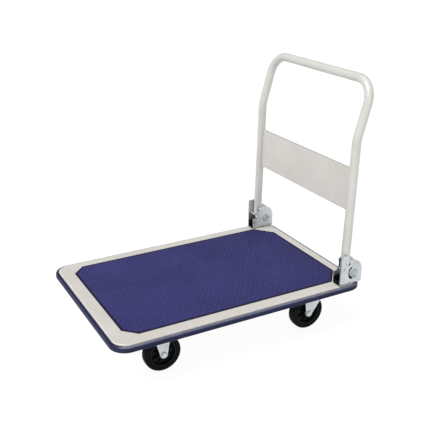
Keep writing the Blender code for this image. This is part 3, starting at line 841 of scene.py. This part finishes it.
def build_bracket(side, sign, zinc):
    """One folded plate with two ears; the outer ear has a curved slot and a dish about the latch."""
    node = f"bracket_{side}"
    low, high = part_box(node)
    x = (low.x + high.x) / 2
    bracket = body_of(node + "_fold", prism(ear_outline(low, high), "X", low.x, high.x))
    section = u_section(low.x, high.x, low.z, high.z + 0.05, EAR_THICK, 0.0052, 0.0022)
    carve(bracket, prism(section, "Y", low.y - 0.01, high.y + 0.01), "INTERSECT")
    carve(bracket, prism(inner_trim(low), "X", *sorted((x - sign * 0.010, x - sign * 0.030))))
    barrel = Vector((x, *LATCH_AXIS[side]))
    for spot, radius, steps in ((centre(f"pivot_bolt_{side}"), PIVOT_HOLE_R, 24),
                                (centre(f"stop_pin_{side}"), 0.0043, 20), (barrel, 0.0150, 48)):
        bore(bracket, Vector((x, spot.y, spot.z)), radius, steps=steps)
    slot = crescent((barrel.y, barrel.z + 0.004), SLOT_R, SLOT_HALF, 122, 244)
    carve(bracket, prism(slot, "X", *sorted((x + sign * 0.010, x + sign * 0.030))))
    dish = [(EAR_HALF + 0.001, 0.0186), (EAR_HALF - 0.0014, 0.0164), (EAR_HALF - 0.0014, 0.0100),
            (EAR_HALF + 0.001, 0.0100)]
    carve(bracket, turned([(sign * t, r) for t, r in dish], barrel))
    for end in ("front", "rear"):
        spot = centre(f"bracket_bolt_{side}_{end}")
        bore(bracket, Vector((spot.x, spot.y, low.z)), BOLT_HOLE_R, "Z", 16, 0.01)
    settle(bracket, 0.0005, 42)
    finish_piece(bracket, zinc, "deck", "zinc_plate", node)


def build_cheek(side, sign, zinc):
    """The thin plate laid on the front strip of a bracket's outer ear."""
    low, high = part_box(f"bracket_{side}")
    x = (low.x + high.x) / 2
    flat = x + sign * EAR_HALF
    front, foot, top = low.y + 0.0012, low.z + 0.0055, high.z - 0.0012
    back = LATCH_AXIS[side][0] - SLOT_R - SLOT_HALF + 0.0006
    corners = [(front, foot), (front, top), (low.y + 0.0250, top), (back, high.z - 0.022), (back, foot)]
    outline = fillet(corners, [0.001, 0.005, 0.006, 0.006, 0.001], 5)
    plate = body_of(f"bracket_{side}_cheek", prism(outline, "X", flat - 0.0004 * sign, flat + sign * CHEEK))
    for hole, radius in ((f"pivot_bolt_{side}", PIVOT_HOLE_R), (f"stop_pin_{side}", 0.0066)):
        spot = centre(hole)
        bore(plate, Vector((x, spot.y, spot.z)), radius)
    settle(plate, 0.0006, 42)
    finish_piece(plate, zinc, "deck", "zinc_plate")


def build_latch(side, steel):
    """The barrel with its release hook and its toe, turned clear of the leg."""
    node = f"latch_{side}"
    low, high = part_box(node)
    x = (low.x + high.x) / 2
    half = (high.x - low.x) / 2
    barrel = Vector((x, *LATCH_AXIS[side]))
    r = 0.0147
    profile = [(-half + 0.0012, 0.0005), (-half + 0.0012, 0.0070), (-half + 0.0004, 0.0078), (-half, 0.0088),
               (-half, r - 0.0016), (-half + 0.0016, r)]
    profile += [(-t, q) for t, q in reversed(profile)]
    latch = body_of(node + "_barrel", turned(profile, barrel, closed=False))
    turn = radians(38)
    hook = [(-0.0114, 0.004), (-0.0114, 0.023), (-0.004, 0.023), (0.003, 0.010), (0.003, 0.004)]
    toe = [(0.002, 0.009), (0.0195, 0.0255), (0.0225, 0.0225), (0.007, 0.005)]
    for shape, radii in ((hook, [0, 0.002, 0.002, 0.003, 0]), (toe, [0, 0.0015, 0.0015, 0])):
        placed = [(barrel.y + p * cos(turn) + q * sin(turn), barrel.z - p * sin(turn) + q * cos(turn))
                  for p, q in fillet(shape, radii, 4)]
        carve(latch, prism(placed, "X", x - 0.014, x + 0.014), "UNION")
    settle(latch, 0.0004, 42)
    finish_piece(latch, steel, f"latch_{side}_lever", "zinc_plate", node)


def build_hinge(side, sign, zinc):
    """Pivot bolt with a socket in its button head, its nut, and the stop pin."""
    x = sign * LEG_X
    spot = centre(f"pivot_bolt_{side}")
    pivot = Vector((x, spot.y, spot.z))
    face = EAR_HALF + CHEEK + 0.0003
    parts = thread(-EAR_HALF - 0.0085, -EAR_HALF + 0.002, 0.0050)
    parts += [(-0.012, 0.0050), (face, 0.0050), (face, 0.0088), (face + 0.0006, 0.0090)]
    parts += dome(face + 0.0006, 0.0026, 0.0090, 60)
    parts += [(face + 0.0028, 0.0044, HEX), (face - 0.0040, 0.0042, HEX), (face - 0.0046, 0.0006)]
    smooth_piece(f"pivot_bolt_{side}_head", fastener(pivot, "X", sign, parts), zinc, "deck", "zinc_plate",
                 f"pivot_bolt_{side}", angle=30)
    face = EAR_HALF + 0.0003
    nut = washer_and_nut(pivot, sign, face, 0.0052, 0.0080, 0.0012, 0.0052, 0.0064)
    smooth_piece(f"pivot_nut_{side}_hex", nut, zinc, "deck", "zinc_plate", f"pivot_nut_{side}", angle=25)
    spot = centre(f"stop_pin_{side}")
    parts = [(-0.0140, 0.0032), (-0.0134, 0.0040), (face, 0.0040), (face, 0.0061)]
    parts += dome(face, 0.0019, 0.0061, 75) + [(EAR_HALF + 0.0022, 0.0006)]
    rivet = fastener(Vector((x, spot.y, spot.z)), "X", sign, parts)
    smooth_piece(f"stop_pin_{side}_rivet", rivet, zinc, "deck", "zinc_plate", f"stop_pin_{side}")


def build_bracket_bolt(side, end, x, zinc, steel):
    """A bolt through a bracket's foot and the tray, with a washer under its head and another by its nut."""
    node = f"bracket_bolt_{side}_{end}"
    spot = centre(node)
    seat = Vector((x, spot.y, DECK_TOP + 0.0003 + EAR_THICK))
    parts = thread(-0.0085, -0.004, 0.0030)
    parts += [(0.0002, 0.0030), (0.0002, 0.0074), (0.0009, 0.0074), (0.0009, 0.0055)]
    parts += hex_head(0.0010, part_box(node)[1].z - seat.z - 0.0010, 0.0055)
    # The bolt head takes the latch steel, so painted shade between the bracket's ears makes it nearly black.
    smooth_piece(node + "_hex", fastener(seat, "Z", 1, parts), steel, "deck", "zinc_plate", node, angle=25)
    under = Vector((x, spot.y, DECK_TOP - SHEET - 0.0002))
    washer = [(-0.0009, 0.0034), (-0.0009, 0.0076), (0.0, 0.0076), (0.0, 0.0034)]
    nut = [(-0.0055, 0.0034), (-0.0055, 0.0050), (-0.0045, 0.0055, HEX), (-0.0010, 0.0055, HEX),
           (-0.0010, 0.0034)]
    shape = joined(*(fastener(under, "Z", 1, parts, True) for parts in (washer, nut)))
    smooth_piece(f"bracket_nut_{side}_{end}", shape, zinc, "deck", "zinc_plate", angle=25)


# ---------------------------------------------------------------- casters

def fork_shape(low_y, high_y, axle_y, top, skirt):
    """A fork leg from the side: square at the top, tapering to a round end at the axle."""
    foot = arc(axle_y, WHEEL_R, 0.0125, 192, 348, 14)
    start = [(high_y, top), (low_y, top), (low_y, top - skirt), foot[0]]
    end = [foot[-1], (high_y, top - skirt), (high_y, top)]
    return fillet(start, [0.003, 0.003, 0.010, 0], 5)[:-1] + foot + fillet(end, [0, 0.010, 0], 5)[1:-1]


def build_fork(tag, swivels, body, zinc):
    """Two legs and a crown folded from one sheet, and the pressed ridge on the outside of each leg."""
    node = f"fork_{tag}"
    low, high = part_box(node)
    x = (low.x + high.x) / 2
    axle_y = centre(f"tyre_{tag}").y
    hub_y = centre(f"kingpin_{tag}").y if swivels else axle_y
    crown = high.z
    top = crown - 0.007 if swivels else crown
    outline = fork_shape(low.y, high.y, axle_y, top, 0.012 if swivels else 0.024)
    fork = body_of(node + "_legs", prism(outline, "X", low.x, high.x))
    section = u_section(low.x, high.x, top, 0.0, FORK_THICK, 0.0055, 0.0025)
    carve(fork, prism(section, "Y", low.y - 0.05, high.y + 0.05), "INTERSECT")
    bore(fork, Vector((x, axle_y, WHEEL_R)), AXLE_HOLE_R)
    if swivels:
        ring = [(top - 0.001, 0.0205), (top + 0.0015, 0.0205), (crown - 0.0015, 0.0235), (crown, 0.0228)]
        carve(fork, turned(ring, Vector((x, hub_y, 0)), "Z", 40, False), "UNION")
        bore(fork, Vector((x, hub_y, top)), KINGPIN_HOLE_R, "Z", reach=0.02)
    settle(fork, 0.0005, 42)
    finish_piece(fork, zinc, body, "zinc_plate", node)

    foot_z, head_z = WHEEL_R + 0.016, top - 0.016
    head_y = hub_y - 0.007 if swivels else hub_y
    corners = [(axle_y - 0.0030, foot_z), (head_y - 0.0125, head_z), (head_y + 0.0125, head_z),
               (axle_y + 0.0030, foot_z)]
    ridge = fillet(corners, 0.0024, 5)
    mid_y, mid_z = (sum(values) / len(ridge) for values in zip(*ridge))
    ridges = []
    for face in (-1, 1):
        flat = x + face * FORK_HALF
        outer = [Vector((flat - 0.0003 * face, p, q)) for p, q in ridge]
        raised = [Vector((flat + 0.0009 * face, mid_y + (p - mid_y) * 0.86, mid_z + (q - mid_z) * 0.95))
                  for p, q in ridge]
        ridges.append(loft([outer, raised]))
    pressing = body_of(node + "_pressings", joined(*ridges))
    settle(pressing, 0.0003, 30)
    finish_piece(pressing, zinc, body, "zinc_plate")


def build_plate(tag, swivels, zinc):
    """Caster plate with slots, its race cover on a swivel caster, and four bolts through the channel."""
    node = f"plate_{tag}"
    low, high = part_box(node)
    mid = (low + high) / 2
    half_x, half_y = (high.x - low.x) / 2, (high.y - low.y) / 2
    under = high.z - 0.003
    outline = [(mid.x + p, mid.y + q) for p, q in round_rect(half_x, half_y, 0.008, 6)]
    plate = body_of(node + "_sheet", prism(outline, "Z", under, high.z))
    spots = [Vector((mid.x + sx * (half_x - 0.012), mid.y + sy * (half_y - 0.011), under))
             for sx in (-1, 1) for sy in (-1, 1)]
    for spot in spots:
        slot = [(spot.x + p, spot.y + q) for p, q in round_rect(0.0075, 0.0042, 0.0042, 6)]
        carve(plate, prism(slot, "Z", under - 0.01, under + 0.01))
    if swivels:
        race = [(low.z, 0.0215), (low.z, 0.0232), (low.z + 0.0012, 0.0243)]
        race += [(low.z + 0.0012 + 0.0050 * i / 4, 0.0243 + 0.0030 * (i / 4) ** 2) for i in range(1, 5)]
        race += [(under + 0.001, 0.0285), (under + 0.001, KINGPIN_HOLE_R), (low.z, KINGPIN_HOLE_R)]
        hub_y = centre(f"kingpin_{tag}").y
        carve(plate, turned(race, Vector((mid.x, hub_y, 0)), "Z"), "UNION")
        bore(plate, Vector((mid.x, hub_y, under)), KINGPIN_HOLE_R, "Z", reach=0.02)
    settle(plate, 0.0004, 42)
    finish_piece(plate, zinc, "deck", "zinc_plate", node)
    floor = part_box("front_channel")[0].z + SHEET - under
    parts = [(-0.0118, 0.0020)] + thread(-0.0114, -0.0068, 0.0031)
    parts += [(-0.0064, 0.0031), (-0.0064, 0.0052), (-0.0052, 0.0060, HEX), (-0.0012, 0.0060, HEX),
              (-0.0012, 0.0078), (-0.0002, 0.0078), (-0.0002, 0.0031), (floor + 0.0002, 0.0031)]
    parts += hex_head(floor + 0.0004, 0.0040, 0.0058)
    bolts = joined(*(fastener(spot, "Z", 1, parts) for spot in spots))
    smooth_piece(f"plate_bolts_{tag}", bolts, zinc, "deck", "zinc_plate", angle=25)


def build_kingpin(tag, zinc):
    node = f"kingpin_{tag}"
    low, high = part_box(node)
    at = Vector(((low.x + high.x) / 2, (low.y + high.y) / 2, low.z))
    tall = high.z - low.z
    parts = [(0.0, 0.0015), (0.0, 0.0080), (0.0011, 0.0100), (0.0030, 0.0100), (0.0030, 0.0057)]
    parts += thread(tall - 0.006, tall, 0.0057)
    smooth_piece(node + "_pin", fastener(at, "Z", 1, parts), zinc, "deck", "zinc_plate", node)


def tyre_profile():
    """Half profiles mirrored: bead, ringed side wall, rounded shoulder and a lightly grooved crown."""
    seat = 0.0460
    half, crown = TYRE_HALF, WHEEL_R
    side = [(half - 0.0012, seat), (half, seat + 0.0012), (half, 0.0505), (half - 0.0006, 0.0509),
            (half - 0.0006, 0.0516), (half, 0.0520), (half, 0.0560)]
    shoulder = 0.0046
    side += [(half - shoulder + p, crown - 0.0006 - shoulder + q) for p, q in arc(0, 0, shoulder, 0, 78, 6)]
    tread = []
    for edge in (0.0072, 0.0028):
        tread += [(edge + 0.0007, crown - 0.0003), (edge + 0.0003, crown - 0.0012),
                  (edge - 0.0003, crown - 0.0012), (edge - 0.0007, crown - 0.0002)]
    right = side + tread + [(0.0, crown)]
    return right + [(-t, r) for t, r in reversed(right[:-1])]


def build_wheel(tag, body, rubber, nylon, zinc):
    """The solid tyre, the spoked hub and the shields over its bearings."""
    at = centre(f"tyre_{tag}")
    ring = turned(tyre_profile(), at, "X", 112)
    smooth_piece(f"tyre_{tag}_ring", ring, rubber, body, "tyre_rubber", f"tyre_{tag}")

    low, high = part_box(f"hub_{tag}")
    half = (high.x - low.x) / 2
    rim = high.z - at.z
    web, boss, hole = 0.0045, 0.0165, 0.0083
    right = [(half, hole), (half, boss - 0.0012), (half - 0.0010, boss), (web, boss + 0.0018),
             (web, rim - 0.0070), (0.0125, rim - 0.0050), (0.0142, rim - 0.0046), (0.0145, rim - 0.0040),
             (0.0145, rim)]
    hub = body_of(f"hub_{tag}_casting", turned(right + [(-t, r) for t, r in reversed(right)], at, "X", 64))
    spokes, thick = 8, 0.0011
    for side in (-1, 1):
        for k in range(spokes):
            turn = Matrix.Rotation(2 * pi * (k + 0.5) / spokes, 3, "X")
            rings = []
            for reach, depth in ((boss - 0.002, half - 0.004), (rim - 0.0045, 0.0105)):
                ring = [(0.001, -thick), (0.001, thick), (depth, thick * 0.8), (depth, -thick * 0.8)]
                rings.append([at + turn @ Vector((side * p, reach, q)) for p, q in ring])
            carve(hub, loft(rings), "UNION")
    settle(hub, 0.0003, 40)
    finish_piece(hub, nylon, body, "hub_plastic", f"hub_{tag}")
    cap = [(half - 0.0002, 0.0086), (half - 0.0002, 0.0128), (half + 0.0004, 0.0124), (half + 0.0006, 0.0106),
           (half + 0.0004, 0.0086)]
    shields = joined(*(turned([(side * t, r) for t, r in cap], at) for side in (-1, 1)))
    smooth_piece(f"hub_shields_{tag}", shields, zinc, body, "zinc_plate")


def build_axle(tag, sign, body, zinc, steel):
    """The sleeve between the fork's legs, the bolt through it and the nut."""
    at = centre(f"tyre_{tag}")
    inside = FORK_HALF - FORK_THICK - 0.0003
    profile = [(-inside, AXLE_HOLE_R), (-inside, 0.0078), (-inside + 0.0004, 0.0080)]
    profile += [(-t, r) for t, r in reversed(profile)]
    sleeve = turned(profile, at, "X", 32)
    smooth_piece(f"axle_sleeve_{tag}_tube", sleeve, steel, body, "zinc_plate", f"axle_sleeve_{tag}")
    face = FORK_HALF + 0.0002
    parts = [(-face - 0.0085, 0.0030)] + thread(-face - 0.0080, -face + 0.001, 0.0050)
    parts += [(face, 0.0050), (face, 0.0100), (face + 0.0010, 0.0100), (face + 0.0010, 0.0085)]
    parts += hex_head(face + 0.0011, 0.0046, 0.0085)
    bolt = fastener(at, "X", sign, parts)
    smooth_piece(f"axle_bolt_{tag}_hex", bolt, zinc, body, "zinc_plate", f"axle_bolt_{tag}", angle=25)
    nut = washer_and_nut(at, sign, face, 0.0053, 0.0085, 0.0011, 0.0048, 0.0058)
    smooth_piece(f"axle_nut_{tag}_hex", nut, zinc, body, "zinc_plate", f"axle_nut_{tag}", angle=25)


# ---------------------------------------------------------------- stage

def build_floor():
    """A wide pale floor that glows a little, so that shadows stay faint, and that is clear from below."""
    reach = 60.0
    bm = bmesh.new()
    bmesh.ops.create_grid(bm, x_segments=8, y_segments=8, size=reach)
    mesh = bpy.data.meshes.new("studio_floor")
    bm.to_mesh(mesh)
    bm.free()
    floor = linked("studio_floor", mesh)
    paper = bpy.data.materials.new("studio_paper")
    paper.use_nodes = True
    tree = paper.node_tree
    shader = tree.nodes["Principled BSDF"]
    set_inputs(shader, {"Base Color": (0.12, 0.12, 0.12, 1.0), "Roughness": 0.9, "Specular IOR Level": 0.0,
                        "Emission Color": (1.0, 1.0, 1.0, 1.0), "Emission Strength": 0.92})
    clear = tree.nodes.new("ShaderNodeBsdfTransparent")
    choose = tree.nodes.new("ShaderNodeMixShader")
    facing = tree.nodes.new("ShaderNodeNewGeometry")
    tree.links.new(facing.outputs["Backfacing"], choose.inputs["Fac"])
    tree.links.new(shader.outputs[0], choose.inputs[1])
    tree.links.new(clear.outputs[0], choose.inputs[2])
    tree.links.new(choose.outputs[0], tree.nodes["Material Output"].inputs["Surface"])
    mesh.materials.append(paper)


def build_light():
    scene = bpy.context.scene
    world = bpy.data.worlds.new("studio")
    world.use_nodes = True
    set_inputs(world.node_tree.nodes["Background"], {"Color": (1.0, 1.0, 1.0, 1.0), "Strength": 0.40})
    scene.world = world
    suns = (("key_sun", 2.9, (0.05, -0.55, 0.95)), ("fill_sun", 0.75, (0.95, -0.10, 0.25)))
    for name, energy, towards in suns:
        lamp = bpy.data.lights.new(name, "SUN")
        lamp.energy = energy
        lamp.angle = radians(45)
        sun = linked(name, lamp)
        sun.rotation_mode = "QUATERNION"
        sun.rotation_quaternion = Vector(towards).to_track_quat("Z", "Y")
    scene.view_settings.view_transform = "Standard"
    scene.view_settings.look = "None"


def build_camera():
    """The view down the right side from the front: turned about the deck, 22 degrees above the floor."""
    turn, raised, away = radians(61.64), radians(21.81), 3.0876
    aim = Vector((-0.5028, 0.303 + MIDDLE_Y, DECK_TOP))
    back = Vector((sin(turn) * cos(raised), -cos(turn) * cos(raised), sin(raised)))
    lens = bpy.data.cameras.new("camera")
    lens.sensor_width = 36.0
    lens.lens = 61.67
    camera = linked("camera", lens)
    camera.rotation_mode = "QUATERNION"
    camera.location = aim + back * away
    camera.rotation_quaternion = (-back).to_track_quat("-Z", "Y")
    bpy.context.scene.camera = camera


def main():
    build_camera()
    build_light()
    build_floor()
    enamel = ((0.548, 0.520, 0.481), (0.591, 0.561, 0.528))
    paint = cream_enamel("cream_enamel", *enamel)
    tube_paint = cream_enamel("tube_enamel", (0.532, 0.530, 0.496), (0.576, 0.574, 0.542))
    panel_paint = cream_enamel("panel_enamel", *enamel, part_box("handle_panel")[1].z)
    zinc = zinc_plate("zinc_plate")
    # Zinc with painted shade inside the brackets.
    inside_shaded = zinc_plate("zinc_bracket", True)
    weld = weld_steel()
    tread = tyre_rubber()
    nylon = hub_nylon()
    steel = latch_steel()
    build_pan(paint)
    build_mat(mat_vinyl(*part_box("deck_mat")))
    build_bumper(bumper_rubber(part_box("edge_bumper")[1].z))
    build_frame(frame_paint(), weld)
    build_handle(tube_paint)
    build_panel(panel_paint, weld)
    for side, sign in SIDES:
        build_bracket(side, sign, inside_shaded)
        build_cheek(side, sign, inside_shaded)
        build_latch(side, steel)
        build_hinge(side, sign, zinc)
        for end in ("front", "rear"):
            build_bracket_bolt(side, end, sign * LEG_X, zinc, steel)
        for end in ("front", "rear"):
            tag = f"{end}_{side}"
            swivels = end == "rear"
            carrier = f"swivel_{side}" if swivels else "deck"
            build_plate(tag, swivels, zinc)
            build_fork(tag, swivels, carrier, zinc)
            build_wheel(tag, f"wheel_{tag}", tread, nylon, zinc)
            build_axle(tag, sign, carrier, zinc, steel)
        build_kingpin(f"rear_{side}", zinc)


main()
